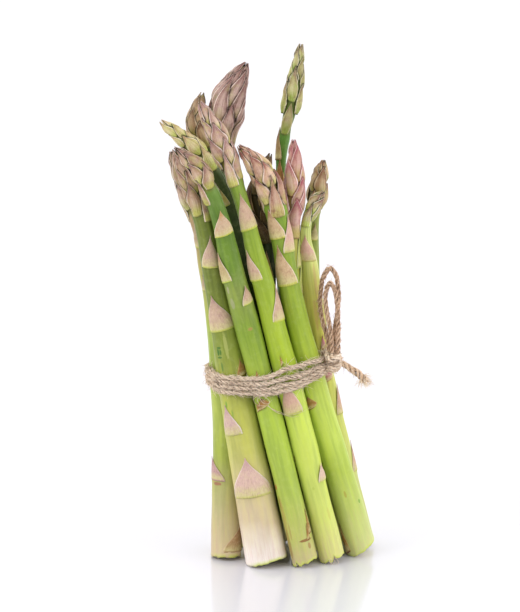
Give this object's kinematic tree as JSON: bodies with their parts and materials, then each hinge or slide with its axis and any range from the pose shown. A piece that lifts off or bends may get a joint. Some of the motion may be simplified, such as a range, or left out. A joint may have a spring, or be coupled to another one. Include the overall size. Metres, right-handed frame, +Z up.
{
  "type": "bundle of asparagus",
  "caption": "Tied bundle of green asparagus spears with purple-tinged tips, standing on its cut ends, held at the waist by jute twine with a bow.",
  "frame": {"origin": "bottom centre of the standing bundle's box, on the surface that the cut ends rest on", "axes": "+Z up along the spears, +X to the right across the fan of heads, -Y towards the front"},
  "size_m": [0.0872, 0.0518, 0.2056],
  "materials": {
    "green_spear": "smooth waxy plant skin, bright green, cream and pink at the cut end, mauve and olive at the tip",
    "scale_leaf": "thin dusty tan and mauve scale leaf, matt, finely ribbed, with a pale edge",
    "jute_twine": "rough plied jute, matt, with loose fibres"
  },
  "bodies": {
    "root": {"scale_back_left_1": "scale_leaf", "scale_back_left_2": "scale_leaf", "scale_back_left_3": "scale_leaf", "scale_back_left_4": "scale_leaf", "scale_back_purple_1": "scale_leaf", "scale_back_purple_2": "scale_leaf", "scale_back_purple_3": "scale_leaf", "scale_back_purple_4": "scale_leaf", "scale_back_purple_5": "scale_leaf", "scale_back_right_1": "scale_leaf", "scale_back_right_2": "scale_leaf", "scale_back_right_3": "scale_leaf", "scale_back_tall_1": "scale_leaf", "scale_back_tall_2": "scale_leaf", "scale_back_tall_3": "scale_leaf", "scale_back_tall_4": "scale_leaf", "scale_front_left_1": "scale_leaf", "scale_front_left_2": "scale_leaf", "scale_front_left_3": "scale_leaf", "scale_front_middle_1": "scale_leaf", "scale_front_middle_2": "scale_leaf", "scale_front_middle_3": "scale_leaf", "scale_front_middle_4": "scale_leaf", "scale_front_middle_5": "scale_leaf", "scale_front_right_1": "scale_leaf", "scale_front_right_2": "scale_leaf", "scale_front_right_3": "scale_leaf", "scale_front_stout_1": "scale_leaf", "scale_front_stout_2": "scale_leaf", "scale_front_stout_3": "scale_leaf", "scale_front_stout_4": "scale_leaf", "scale_inner_1": "scale_leaf", "scale_left_1": "scale_leaf", "scale_left_2": "scale_leaf", "scale_left_3": "scale_leaf", "scale_left_4": "scale_leaf", "scale_pink_tip_1": "scale_leaf", "scale_right_1": "scale_leaf", "scale_right_2": "scale_leaf", "scale_right_3": "scale_leaf", "scale_yellow_tip_1": "scale_leaf", "spear_back_left": "green_spear", "spear_back_purple": "green_spear", "spear_back_right": "green_spear", "spear_back_tall": "green_spear", "spear_front_left": "green_spear", "spear_front_middle": "green_spear", "spear_front_right": "green_spear", "spear_front_stout": "green_spear", "spear_inner": "green_spear", "spear_left": "green_spear", "spear_pink_tip": "green_spear", "spear_right": "green_spear", "spear_yellow_tip": "green_spear", "twine_knot": "jute_twine", "twine_loop_short": "jute_twine", "twine_loop_tall": "jute_twine", "twine_tail": "jute_twine", "twine_winding": "jute_twine"}
  },
  "joints": []
}
